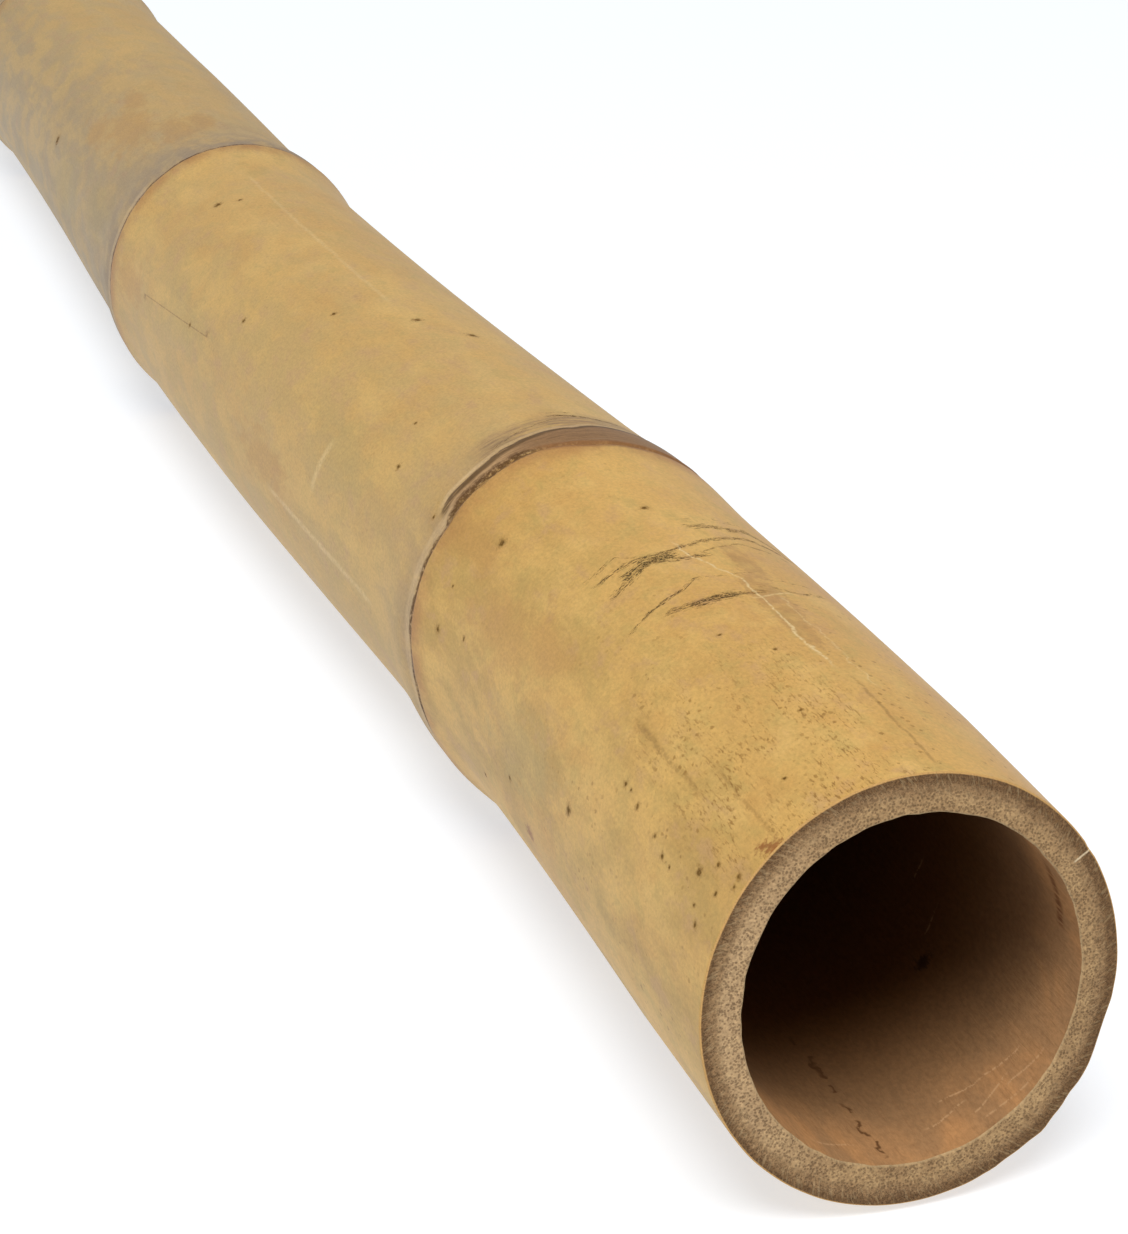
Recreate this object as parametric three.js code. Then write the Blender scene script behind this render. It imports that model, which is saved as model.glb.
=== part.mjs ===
// A length of mature bamboo culm, sawn off at both ends, lying on its side.
// Millimetres, +Z up. The culm runs along Y: the slimmer upper end is at -Y, the base end at +Y.
// It grew as one piece, so it is one solid: a woody wall round a hollow bore, which a septum
// crosses at every node. Each septum is pierced by the hole of the rod that is driven down a
// pole before it is dried, so the bore is one space from end to end.
// Origin: on the surface that it lies on, under the middle of its length and breadth.

import * as THREE from "three";
import { mergeVertices } from "three/addons/utils/BufferGeometryUtils.js";

// The whole pole
const CULM_LENGTH = 1300;
const SIDES = 40;
const SAME_POINT = 1e-3;

// The nodes: how far each scar is from the upper cut, how far the skin swells there, how far
// the ring leans along the culm, towards the right (across) and towards the top (up), and how
// far the swelling is pushed to one side.
const NODES = [
  { at: 243, swell: 2.15, leanAcross: 4.3, leanUp: 7.25, pushAcross: -0.7, pushUp: -0.55 },
  { at: 698, swell: 2.6, leanAcross: 6.3, leanUp: -1.3, pushAcross: 0.2, pushUp: 0.1 },
  { at: 1195, swell: 2.6, leanAcross: 4.0, leanUp: 2.0, pushAcross: 0, pushUp: 0 },
];
const LEAN_REACH = 70;

// Skin radius between the nodes: [distance from the upper cut, radius]
const SKIN = [
  [0, 50.0],
  [60, 51.15],
  [600, 51.15],
  [1000, 50.75],
  [CULM_LENGTH, 51.45],
];
// The section is a little out of round, more so at the upper end
const OVAL_UPPER = { cos: -0.01, sin: -0.0046 };
const OVAL_LOWER = { cos: -0.008, sin: 0.005 };
const OVAL_REACH = 600;

// The swelling is a soft bell round the node, highest just past the scar that the sheath left,
// where the skin steps in
const SWELL_PEAK = 4;
const SWELL_WIDTH = 25;
const SCAR_STEP = 0.3;
const SCAR_WIDTH = 1.5;
const SCAR_FADE = 12;

// Wall thickness at the two ends, and the septum at each node
const WALL_UPPER = 9.3;
const WALL_LOWER = 10.5;
const SEPTUM_THICKNESS = 5;
const SEPTUM_FILLET = 9;
const FILLET_STEPS = 4;
const ROD_HOLE_RADIUS = 7;

// The upper cut is a little askew: how far it runs back per millimetre across and up
const CUT_ASKEW = { across: 0.0705, up: 0.021, reach: 160 };

// The culm bends slightly at its nodes, and its internodes bow sideways
const BENDS = [
  { node: NODES[0], slope: -0.0394, softness: 35 },
  { node: NODES[1], slope: 0.0471, softness: 51 },
];
const BOWS = [
  { from: 0, to: NODES[0].at, across: 0.7 },
  { from: NODES[0].at, to: NODES[1].at, across: -3.1 },
  { from: NODES[1].at, to: NODES[2].at, across: 1.3 },
];

// It lies on its three nodes, each worn to a small flat below, and its upper end sags
const FLAT_DEPTH = 0.8;
const UPPER_END_SAG = 1.0;

// Straight lines through [place, value] pairs
function along(pairs, s) {
  const i = pairs.findIndex(([place], k) => k > 0 && (s <= place || k === pairs.length - 1));
  const [s0, v0] = pairs[i - 1];
  const [s1, v1] = pairs[i];
  return v0 + ((v1 - v0) * (s - s0)) / (s1 - s0);
}

// The swelling's share at a distance t past a node's scar
function bell(t) {
  return Math.exp(-(((t - SWELL_PEAK) / SWELL_WIDTH) ** 2));
}

// How far the skin stands above the internode there: the bell, less the step at the scar
function nodeRise(t, swell) {
  const step = THREE.MathUtils.smoothstep(t, 0, SCAR_WIDTH);
  return swell * bell(t) - SCAR_STEP * step * Math.exp(-((Math.max(t, 0) / SCAR_FADE) ** 2));
}

function skinRadius(s) {
  return NODES.reduce((r, node) => r + nodeRise(s - node.at, node.swell), along(SKIN, s));
}

function boreRadius(s) {
  const wall = THREE.MathUtils.mapLinear(s, 0, CULM_LENGTH, WALL_UPPER, WALL_LOWER);
  return along(SKIN, s) - wall;
}

// The two ovals, blended along the culm, as a factor on the radius
function ovality(s, angle) {
  const lower = THREE.MathUtils.clamp(s / OVAL_REACH, 0, 1);
  const cos = THREE.MathUtils.lerp(OVAL_UPPER.cos, OVAL_LOWER.cos, lower);
  const sin = THREE.MathUtils.lerp(OVAL_UPPER.sin, OVAL_LOWER.sin, lower);
  return 1 + cos * Math.cos(2 * angle) + sin * Math.sin(2 * angle);
}

// Sideways place of the culm's middle line: soft kinks at the nodes, half waves between, and
// the swellings' own push to one side
function middleAcross(s) {
  const bends = BENDS.reduce((x, { node, slope, softness }) => {
    const t = s - node.at;
    return x + (slope * (t + Math.hypot(t, softness))) / 2;
  }, 0);
  const bowed = BOWS.reduce((x, { from, to, across }) => {
    const share = THREE.MathUtils.clamp((s - from) / (to - from), 0, 1);
    return x + across * Math.sin(Math.PI * share);
  }, bends);
  return NODES.reduce((x, { at, pushAcross }) => x + pushAcross * bell(s - at), bowed);
}

// Height of the middle line: over each node the swelling's lowest point is sunk by the flat
const UNDERSIDE = -Math.PI / 2;
const NODE_HEIGHTS = NODES.map(({ at, pushUp }) => {
  const peak = at + SWELL_PEAK;
  return [at, skinRadius(peak) * ovality(peak, UNDERSIDE) - FLAT_DEPTH - pushUp];
});
const HEIGHTS = [
  [0, NODE_HEIGHTS[0][1] - UPPER_END_SAG],
  ...NODE_HEIGHTS,
  [CULM_LENGTH, NODE_HEIGHTS.at(-1)[1]],
];

function middleHeight(s) {
  return NODES.reduce((z, { at, pushUp }) => z + pushUp * bell(s - at), along(HEIGHTS, s));
}

// From a place in the straight, round culm to its place in the real one
function bend(s, angle, radius) {
  const r = radius * ovality(s, angle);
  const across = r * Math.cos(angle);
  const up = r * Math.sin(angle);
  const nearCut = THREE.MathUtils.clamp(1 - s / CUT_ASKEW.reach, 0, 1);
  let y = s + nearCut * (CUT_ASKEW.across * across + CUT_ASKEW.up * up);
  for (const { at, leanAcross, leanUp } of NODES) {
    const share = Math.exp(-(((s - at) / LEAN_REACH) ** 2)) / SKIN[0][1];
    y += share * (leanAcross * across + leanUp * up);
  }
  return new THREE.Vector3(middleAcross(s) + across, y, Math.max(middleHeight(s) + up, 0));
}

// Places along the culm: close together over each node, far apart between
const NODE_STATIONS = [-58, -42, -31, -23, -16, -10, -5, -2, 0, 1.5, 5, 10, 16, 23, 31, 39, 50, 66];
const INTERNODE_STATIONS = [30, 60, 105, 150, 340, 425, 510, 590, 810, 900, 1000, 1090, 1280];

// The skin, from the upper cut to the base cut
function skinProfile() {
  const stations = NODES.flatMap(({ at }) => NODE_STATIONS.map((t) => at + t));
  stations.push(0, ...INTERNODE_STATIONS, CULM_LENGTH);
  stations.sort((a, b) => a - b);
  return stations.map((s) => new THREE.Vector2(skinRadius(s), s));
}

// One septum, from its base side to its upper side: round fillet, flat face, rod hole
function septumProfile(at) {
  const wall = boreRadius(at);
  const half = SEPTUM_THICKNESS / 2;
  const lowerSide = [];
  const upperSide = [];
  for (let i = 0; i <= FILLET_STEPS; i += 1) {
    const a = (Math.PI / 2) * (i / FILLET_STEPS);
    const radius = wall - SEPTUM_FILLET * (1 - Math.cos(a));
    const out = half + SEPTUM_FILLET * (1 - Math.sin(a));
    lowerSide.push(new THREE.Vector2(radius, at + out));
    upperSide.unshift(new THREE.Vector2(radius, at - out));
  }
  const rodHole = [half, -half].map((out) => new THREE.Vector2(ROD_HOLE_RADIUS, at + out));
  return [...lowerSide, ...rodHole, ...upperSide];
}

// The bore, from the base cut back to the upper cut
function boreProfile() {
  const stations = [0, ...INTERNODE_STATIONS, CULM_LENGTH];
  const wall = stations.map((s) => new THREE.Vector2(boreRadius(s), s));
  const septa = NODES.flatMap(({ at }) => septumProfile(at));
  return [...wall, ...septa].sort((a, b) => b.y - a.y);
}

// The closed profile turned round Y, then bent to the culm's real line
function culmGeometry() {
  const outline = [...skinProfile(), ...boreProfile()];
  outline.push(outline[0].clone());
  const turned = new THREE.LatheGeometry(outline, SIDES);
  turned.deleteAttribute("normal");
  turned.deleteAttribute("uv");
  const geometry = mergeVertices(turned, SAME_POINT);
  const position = geometry.getAttribute("position");
  const point = new THREE.Vector3();
  for (let i = 0; i < position.count; i += 1) {
    point.fromBufferAttribute(position, i);
    const bent = bend(point.y, Math.atan2(point.z, point.x), Math.hypot(point.x, point.z));
    position.setXYZ(i, bent.x, bent.y, bent.z);
  }
  geometry.computeBoundingBox();
  const middle = geometry.boundingBox.getCenter(new THREE.Vector3());
  geometry.translate(-middle.x, -middle.y, 0);
  geometry.computeVertexNormals();
  return geometry;
}

const caneMaterial = new THREE.MeshStandardMaterial({
  name: "bamboo",
  color: "#c9a869",
  roughness: 0.5,
  metalness: 0,
});

const cane = new THREE.Mesh(culmGeometry(), caneMaterial);
cane.name = "bamboo_cane";

const group = new THREE.Group();
group.name = "bamboo_cane_length";
group.add(cane);

export default group;
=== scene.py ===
# %% [markdown]
# # A length of bamboo
# The object is one length of a thick, dried bamboo culm that lies on its side. It grew as one piece: a
# woody wall round a hollow bore, with a ring-shaped scar and a soft swelling at every node. The packed
# frame already holds its plain solid at its real size. This script repeats the same formulas on a much
# finer grid, adds the small relief that the solid leaves out, and gives skin, cut and bore a finish.

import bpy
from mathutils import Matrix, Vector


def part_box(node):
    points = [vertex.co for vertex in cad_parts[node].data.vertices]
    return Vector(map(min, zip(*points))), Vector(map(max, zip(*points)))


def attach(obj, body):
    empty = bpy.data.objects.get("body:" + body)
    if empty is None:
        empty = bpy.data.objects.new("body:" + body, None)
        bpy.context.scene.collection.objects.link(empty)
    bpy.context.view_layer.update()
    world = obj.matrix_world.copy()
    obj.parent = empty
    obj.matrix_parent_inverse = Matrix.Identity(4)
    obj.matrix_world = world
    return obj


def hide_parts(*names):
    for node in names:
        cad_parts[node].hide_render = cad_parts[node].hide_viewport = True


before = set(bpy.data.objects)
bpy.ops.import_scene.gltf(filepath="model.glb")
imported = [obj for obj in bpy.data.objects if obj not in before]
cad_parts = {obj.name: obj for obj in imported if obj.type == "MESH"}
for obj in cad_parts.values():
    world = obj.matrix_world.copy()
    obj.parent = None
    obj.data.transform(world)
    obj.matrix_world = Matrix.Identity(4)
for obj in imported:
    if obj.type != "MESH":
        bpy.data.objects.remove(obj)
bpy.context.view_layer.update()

# %% Other modules
import math
from functools import reduce

import bpy
import numpy as np

# %% [markdown]
# ## The growing line
# A culm is easiest to think of as straight and round: a point in it has a place along the culm, a
# direction round it and a radius. Everything here is worked out in those three numbers, and one last
# function bends the straight culm to its real line. Sizes are millimetres until the mesh is written.
# The nodes come first, because the swellings, the bends and the septa all hang on them.

# %% Sizes along the culm
MM = 0.001
CULM_LENGTH = 1300.0
NODES = (
    {"at": 243.0, "swell": 2.15, "lean": (4.3, 7.25), "push": (-0.7, -0.55)},
    {"at": 698.0, "swell": 2.6, "lean": (6.3, -1.3), "push": (0.2, 0.1)},
    {"at": 1195.0, "swell": 2.6, "lean": (4.0, 2.0), "push": (0.0, 0.0)},
)
NODE_PLACES = np.array([node["at"] for node in NODES])
print("internodes, in mm:", np.diff([0.0, *NODE_PLACES, CULM_LENGTH]))

# %% The skin's radius
SKIN_PLACES = (0.0, 60.0, 600.0, 1000.0, CULM_LENGTH)
SKIN_RADII = (50.0, 51.15, 51.15, 50.75, 51.45)
SWELL_PEAK = 4.0
SWELL_WIDTH = 25.0
SCAR_STEP = 0.3
SCAR_WIDTH = 1.5
SCAR_FADE = 12.0


def smooth(value, low, high):
    """A smooth step: 0 below low, 1 above high, and 3k^2 - 2k^3 of the share k between them."""
    share = np.clip((value - low) / (high - low), 0.0, 1.0)
    return share * share * (3.0 - 2.0 * share)


def hill(distance, width):
    """1 at a distance of nought, falling off on both sides: e to the minus square of distance / width."""
    return np.exp(-((distance / width) ** 2))


def bell(past):
    """The swelling's share at a distance past a scar: a hill round its peak."""
    return hill(past - SWELL_PEAK, SWELL_WIDTH)


def skin_radius(place):
    """Straight lines between the given radii, plus a bell and less a fading step at every scar."""
    radius = np.interp(place, SKIN_PLACES, SKIN_RADII)
    for node in NODES:
        past = place - node["at"]
        step = smooth(past, 0.0, SCAR_WIDTH) * hill(np.maximum(past, 0.0), SCAR_FADE)
        radius = radius + node["swell"] * bell(past) - SCAR_STEP * step
    return radius


print("skin radius at the swellings, in mm:", skin_radius(NODE_PLACES + SWELL_PEAK).round(2))

# %% The section is a little out of round
OVAL_UPPER = np.array([-0.01, -0.0046])
OVAL_LOWER = np.array([-0.008, 0.005])
OVAL_REACH = 600.0


def ovality(place, angle):
    """A factor on the radius: 1 + a cos 2 angle + b sin 2 angle, where a and b blend along the culm."""
    share = np.clip(place / OVAL_REACH, 0.0, 1.0)
    cos_part, sin_part = (OVAL_UPPER[k] + (OVAL_LOWER[k] - OVAL_UPPER[k]) * share for k in (0, 1))
    return 1.0 + cos_part * np.cos(2.0 * angle) + sin_part * np.sin(2.0 * angle)


print("across the upper cut, in mm:", 2 * SKIN_RADII[0] * ovality(0.0, 0.0))

# %% The middle line
BENDS = ((0, -0.0394, 35.0), (1, 0.0471, 51.0))
BOWS = ((0.0, 243.0, 0.7), (243.0, 698.0, -3.1), (698.0, 1195.0, 1.3))
FLAT_DEPTH = 0.8
UPPER_END_SAG = 1.0
UNDERSIDE = -math.pi / 2


def middle_across(place):
    """Sideways place of the middle: soft kinks and a push at the nodes, and half waves between them."""
    across = np.zeros_like(place)
    for index, slope, softness in BENDS:
        past = place - NODES[index]["at"]
        across = across + slope * (past + np.hypot(past, softness)) / 2.0
    for start, end, height in BOWS:
        across = across + height * np.sin(np.pi * np.clip((place - start) / (end - start), 0.0, 1.0))
    for node in NODES:
        across = across + node["push"][0] * bell(place - node["at"])
    return across


peaks = NODE_PLACES + SWELL_PEAK
pushes_up = np.array([node["push"][1] for node in NODES])
node_heights = skin_radius(peaks) * ovality(peaks, UNDERSIDE) - FLAT_DEPTH - pushes_up


def middle_height(place):
    """Height of the middle: straight between the nodes, each sunk by its flat, and a push at each."""
    places = (0.0, *NODE_PLACES, CULM_LENGTH)
    heights = (node_heights[0] - UPPER_END_SAG, *node_heights, node_heights[-1])
    height = np.interp(place, places, heights)
    for node in NODES:
        height = height + node["push"][1] * bell(place - node["at"])
    return height


print("height of the middle over each node, in mm:", node_heights.round(2))

# %% From the straight culm to the real one
CUT_ASKEW = (0.0705, 0.021)
CUT_REACH = 160.0
LEAN_REACH = 70.0


def bend(place, angle, radius):
    """Point of the real culm: the middle line plus the radius, slid along where a cut or a ring leans."""
    drawn = radius * ovality(place, angle)
    across = drawn * np.cos(angle)
    up = drawn * np.sin(angle)
    near_cut = np.clip(1.0 - place / CUT_REACH, 0.0, 1.0)
    along = place + near_cut * (CUT_ASKEW[0] * across + CUT_ASKEW[1] * up)
    for node in NODES:
        share = hill(place - node["at"], LEAN_REACH) / SKIN_RADII[0]
        along = along + share * (node["lean"][0] * across + node["lean"][1] * up)
    height = np.maximum(middle_height(place) + up, 0.0)
    return np.stack([middle_across(place) + across, along, height], axis=-1)


# %% [markdown]
# ## The outline that goes round
# A closed outline of places and radii is carried round the culm: out along the skin, in across the base
# cut, back through the bore with its septa, and out across the upper cut. Rows lie close together where
# something small happens, at a scar or an edge, and far apart where the skin only runs on. Because the
# outline closes and the turn closes, the mesh is closed without any cap.

# %% Rows along the skin
EDGE = 0.4
PLAIN_GAP = 10.0
SWELL_OFFSETS = np.arange(-60.0, 70.0, 3.0)
SCAR_OFFSETS = np.array([-5, -4, -3, -2.2, -1.6, -1.1, -0.7, -0.35, 0, 0.35, 0.7, 1.1, 1.6, 2.3, 3.1, 4, 5])
BAND_OFFSETS = np.arange(6.0, 27.0, 0.9)
END_ROWS = (1.2, 2.5, 5.0, CULM_LENGTH - 1.5, CULM_LENGTH - EDGE)
LEAST_GAP = 0.3


def thinned(places, gap):
    """The places in order, without those that lie closer than the gap to the one before."""
    places = np.unique(places)
    keep = np.concatenate([[True], np.diff(places) > gap])
    return places[keep]


around_nodes = [at + SWELL_OFFSETS for at in NODE_PLACES] + [at + SCAR_OFFSETS for at in NODE_PLACES]
plain_rows = np.arange(EDGE, CULM_LENGTH - EDGE, PLAIN_GAP)
sheath_rows = NODE_PLACES[0] + BAND_OFFSETS
skin_rows = thinned(np.concatenate([plain_rows, *around_nodes, sheath_rows, END_ROWS]), LEAST_GAP)
print("rows along the skin:", len(skin_rows))

# %% Rows along the bore
WALL_UPPER = 9.3
WALL_LOWER = 10.5
SEPTUM_HALF = 2.5
SEPTUM_FILLET = 9.0
SEPTUM_MIDDLE = 20.0
ROD_HOLE = 7.0
HOLE_EDGE = 0.5
BORE_GAP = 18.0
MOUTH_START = 12.0
MOUTH_ROWS = (8.0, 5.0, 3.0, 1.8, 1.0, EDGE)


def bore_radius(place):
    """The plain skin radius less the wall, which thickens in a straight line towards the base."""
    wall = WALL_UPPER + (WALL_LOWER - WALL_UPPER) * place / CULM_LENGTH
    return np.interp(place, SKIN_PLACES, SKIN_RADII) - wall


def septum_rows(at):
    """Places and radii of one septum, base side first: quarter-round fillet, flat, rod hole, and back."""
    turn = np.linspace(0.0, np.pi / 2, 6)
    out = SEPTUM_HALF + SEPTUM_FILLET * (1.0 - np.sin(turn))
    radius = bore_radius(at) - SEPTUM_FILLET * (1.0 - np.cos(turn))
    flat = np.array([SEPTUM_MIDDLE, ROD_HOLE + HOLE_EDGE, ROD_HOLE])
    flat_out = np.array([SEPTUM_HALF, SEPTUM_HALF, SEPTUM_HALF - HOLE_EDGE])
    side_out = np.concatenate([out, flat_out])
    side_radius = np.concatenate([radius, flat])
    places = np.concatenate([at + side_out, at - side_out[::-1]])
    return places, np.concatenate([side_radius, side_radius[::-1]])


bore_places = []
bore_radii = []
stretch_ends = [CULM_LENGTH - EDGE]
for node in NODES[::-1]:
    places, radii = septum_rows(node["at"])
    count = int((stretch_ends[-1] - places[0]) / BORE_GAP) + 1
    stretch = np.linspace(stretch_ends[-1], places[0], count, endpoint=False)
    bore_places += [stretch, places]
    bore_radii += [bore_radius(stretch), radii]
    stretch_ends.append(places[-1])
last = np.concatenate([np.linspace(stretch_ends[-1], MOUTH_START, 24)[1:], MOUTH_ROWS])
bore_places = np.concatenate([*bore_places, last])
bore_radii = np.concatenate([*bore_radii, bore_radius(last)])
print("rows along the bore:", len(bore_places))

# %% Rows across a cut
CUT_SHARES = np.linspace(0.12, 0.88, 7)
ROUNDING = 0.3 * EDGE


def cut_rows(place, inward):
    """Across a cut from skin to bore: a rounded outer edge, the flat, and a rounded inner edge.
    inward is +1 where the wood lies towards larger places, and -1 where it lies towards smaller ones."""
    outer = skin_radius(np.array(place))
    inner = bore_radius(place)
    wall = outer - inner
    insets = np.array([ROUNDING, 0.0, *np.zeros(len(CUT_SHARES)), 0.0])
    radii = np.array([outer - ROUNDING, outer - EDGE, *(outer - CUT_SHARES * wall), inner + EDGE])
    return place + inward * insets, radii


base_cut = cut_rows(CULM_LENGTH, -1.0)
upper_cut = cut_rows(0.0, 1.0)
print("rows across each cut:", len(base_cut[0]))

# %% The whole outline
parts = (
    ("skin", skin_rows, skin_radius(skin_rows)),
    ("base_cut", *base_cut),
    ("bore", bore_places, bore_radii),
    ("upper_cut", upper_cut[0][::-1], upper_cut[1][::-1]),
)
part_names = np.concatenate([[name] * len(places) for name, places, _ in parts])
places = np.concatenate([part[1] for part in parts])[:, None]
radii = np.concatenate([part[2] for part in parts])[:, None]
is_skin, is_bore, is_upper_cut, is_base_cut = (
    (part_names == name)[:, None] for name in ("skin", "bore", "upper_cut", "base_cut")
)
COLUMNS = 200
turns = (np.arange(COLUMNS) / COLUMNS)[None, :]
angles = UNDERSIDE + 2.0 * np.pi * turns
degrees = np.degrees(angles)
print("rows and columns:", places.shape[0], COLUMNS, "triangles:", 2 * places.shape[0] * COLUMNS)

# %% [markdown]
# ## What the years leave on the surface
# The plain formula is too perfect. Dried bamboo has faint ridges along the fibres, slow waves, a crease
# at the scar that doesn't run quite true, and at the first node a strip of the old sheath that still
# clings above the scar. These are a tenth to a third of a millimetre high, and the worn lumps at the
# lower edge of the cut up to a millimetre deep, so they are real geometry: they show where light grazes
# the skin. They come from seeded lattices of random heights.

# %% Random heights that close round the culm
ALL_ALONG = 1400.0


def clouds(cells_round, cell_length, seed):
    """Smooth random heights from -1 to 1 over the grid: a lattice of random numbers, blended between
    its corners, that repeats after a full turn. Cells that run all along change only round the culm."""
    draw = np.random.default_rng(seed)
    lattice = draw.uniform(-1.0, 1.0, (cells_round, int(CULM_LENGTH / cell_length) + 3))
    round_share = turns * cells_round
    along_share = np.clip(places, 0.0, CULM_LENGTH) / cell_length
    i = np.floor(round_share).astype(int)
    j = np.floor(along_share).astype(int)
    u = smooth(round_share - i, 0.0, 1.0)
    v = smooth(along_share - j, 0.0, 1.0)
    near = lattice[i % cells_round, j] * (1 - u) + lattice[(i + 1) % cells_round, j] * u
    far = lattice[i % cells_round, j + 1] * (1 - u) + lattice[(i + 1) % cells_round, j + 1] * u
    return near * (1 - v) + far * v


fibre_ridges = clouds(60, 260.0, 1) + 0.6 * clouds(36, 150.0, 2)
slow_waves = clouds(5, 130.0, 3) + 0.5 * clouds(9, 70.0, 4)
print("highest ridge, before it is scaled:", float(np.abs(fibre_ridges).max()))

# %% Distance past the nearest scar
SCAR_RAGGED = 0.35
FAR_FROM_SCAR = 90.0
WANDER_DEGREES = (45.0, 60.0, 75.0, 88.0, 97.0, 105.0, 133.0, 141.0, 152.0, 174.0, 184.0, 190.0, 205.0)
WANDER_BACK = (0.0, 2.0, 3.4, 3.6, 0.5, -2.4, -2.4, 0.0, -1.3, -1.3, 0.4, 2.0, 0.0)


def raised(value, rise, fall):
    """1 between two stretches of the value: a smooth step up over the rise, less one over the fall."""
    return smooth(value, *rise) * (1 - smooth(value, *fall))


first_node = raised(places, (150.0, 170.0), (330.0, 350.0))
ragged = SCAR_RAGGED * (clouds(60, ALL_ALONG, 5) + 0.5 * clouds(90, ALL_ALONG, 6))
ragged = ragged + first_node * np.interp(degrees, WANDER_DEGREES, WANDER_BACK)
from_nodes = places[..., None] - NODE_PLACES
nearest = np.abs(from_nodes).argmin(axis=-1)
past_scar = np.take_along_axis(from_nodes, nearest[..., None], axis=-1)[..., 0] + ragged
past_scar = np.clip(past_scar, -FAR_FROM_SCAR, FAR_FROM_SCAR)
print("past the nearest scar, in mm:", float(past_scar.min()), "to", float(past_scar.max()))

# %% The strip of old sheath at the first node
SHEATH_DEGREES = (26.0, 36.0, 46.0, 60.0, 72.0, 81.0, 90.0, 98.0, 108.0, 118.0, 136.0)
SHEATH_WIDTHS = (1.0, 6.0, 13.0, 20.0, 22.0, 21.0, 18.5, 15.0, 11.2, 9.4, 9.0)
SHEATH_RAGGED = 0.6
SHEATH_HEIGHT = 0.28

sheath_width = np.interp(degrees, SHEATH_DEGREES, SHEATH_WIDTHS)
sheath_side = raised(degrees, (26.0, 36.0), (131.0, 141.0))
past_sheath = past_scar - sheath_width + SHEATH_RAGGED * clouds(75, ALL_ALONG, 7)
sheath = smooth(past_scar, 0.3, 1.3) * (1 - smooth(past_sheath, -0.9, 0.1)) * sheath_side * first_node
print("widest strip of sheath, in mm:", float(sheath_width.max()))

# %% The relief itself
CREASE_DEPTH = 0.3
CREASE_PLACE = 0.2
CREASE_WIDTH = 0.8
RIDGE_HEIGHT = 0.05
WAVE_HEIGHT = 0.18
BORE_RIDGES = 0.08
BORE_OFFSET = (0.3, 0.2)
BORE_OFFSET_REACH = 300.0
SEPTUM_SHARE = 0.3
INNER_RAGGED = 0.18
EDGE_REACH = 1.5
NOTCH_AT = 33.5
NOTCH_DEGREES = 1.2
NOTCH_DEPTH = 0.3
WORN_DEPTH = 0.55
WORN_REACH = 2.2

crease = hill(past_scar - CREASE_PLACE, CREASE_WIDTH)
skin_relief = RIDGE_HEIGHT * fibre_ridges + WAVE_HEIGHT * slow_waves
skin_relief = skin_relief - CREASE_DEPTH * crease + SHEATH_HEIGHT * sheath
bore_share = np.clip(1.0 - places / BORE_OFFSET_REACH, 0.0, 1.0)
bore_relief = bore_share * (BORE_OFFSET[0] * np.cos(angles) + BORE_OFFSET[1] * np.sin(angles))
bore_relief = bore_relief + BORE_RIDGES * (fibre_ridges + slow_waves)
by_edge = hill(places, EDGE_REACH)
bore_relief = bore_relief + INNER_RAGGED * by_edge * clouds(90, ALL_ALONG, 8)
notch = NOTCH_DEPTH * hill(degrees - NOTCH_AT, NOTCH_DEGREES) * by_edge

worn_round = raised(degrees, (-75.0, -55.0), (-18.0, -2.0))
worn_lumps = 0.6 + 0.8 * clouds(36, ALL_ALONG, 9) + 0.6 * clouds(90, ALL_ALONG, 10)
worn = WORN_DEPTH * worn_round * hill(places, WORN_REACH) * worn_lumps

wall_share = (radii - bore_radius(places)) / (skin_radius(places) - bore_radius(places))
wall_share = np.clip(wall_share, 0.0, 1.0)
on_outside = np.where(is_bore, 0.0, wall_share)
on_septum = is_bore & (radii < bore_radius(places) - 0.01)
bore_relief = np.where(on_septum, SEPTUM_SHARE, 1.0) * bore_relief
relief = on_outside * (skin_relief - notch - worn) + (1.0 - on_outside) * bore_relief
print("relief, in mm:", float(relief.min()), "to", float(relief.max()))

# %% Sawn faces are not quite flat
SAW_WAVE = 0.07
SAW_SLANT = 0.3
SAW_TURNS = 1.7

on_cut = is_upper_cut | is_base_cut
saw_marks = SAW_WAVE * np.sin((radii * np.sin(angles) + SAW_SLANT * radii * np.cos(angles)) * SAW_TURNS)
slid = places + np.where(on_cut, saw_marks * 4.0 * wall_share * (1.0 - wall_share), 0.0)

# %% [markdown]
# ## The mesh
# The grid closes both ways, like a very long ring. Its faces are quads between neighbouring rows and
# columns, wound so that they point out of the wood. The visible culm has to fill the same box as the
# frame's solid, so it is centred on that box in the same way.

# %% Points and faces
points = bend(slid, angles, radii + relief) * MM
box_low, box_high = (np.array(corner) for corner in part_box("bamboo_cane"))
shift = (box_low + box_high) / 2.0 - (points.min((0, 1)) + points.max((0, 1))) / 2.0
points = points + np.array([shift[0], shift[1], 0.0])
row_count = places.shape[0]
row, column = np.meshgrid(np.arange(row_count), np.arange(COLUMNS), indexing="ij")
next_row = (row + 1) % row_count
next_column = (column + 1) % COLUMNS
corner_rows = np.stack([row, next_row, next_row, row], axis=-1)
corner_columns = np.stack([column, column, next_column, next_column], axis=-1)
faces = (corner_rows * COLUMNS + corner_columns).reshape(-1, 4)
mesh = bpy.data.meshes.new("bamboo_culm")
mesh.from_pydata(points.reshape(-1, 3), [], faces)
print("size, in mm:", ((points.max((0, 1)) - points.min((0, 1))) / MM).round(2), "shift:", shift / MM)

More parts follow.
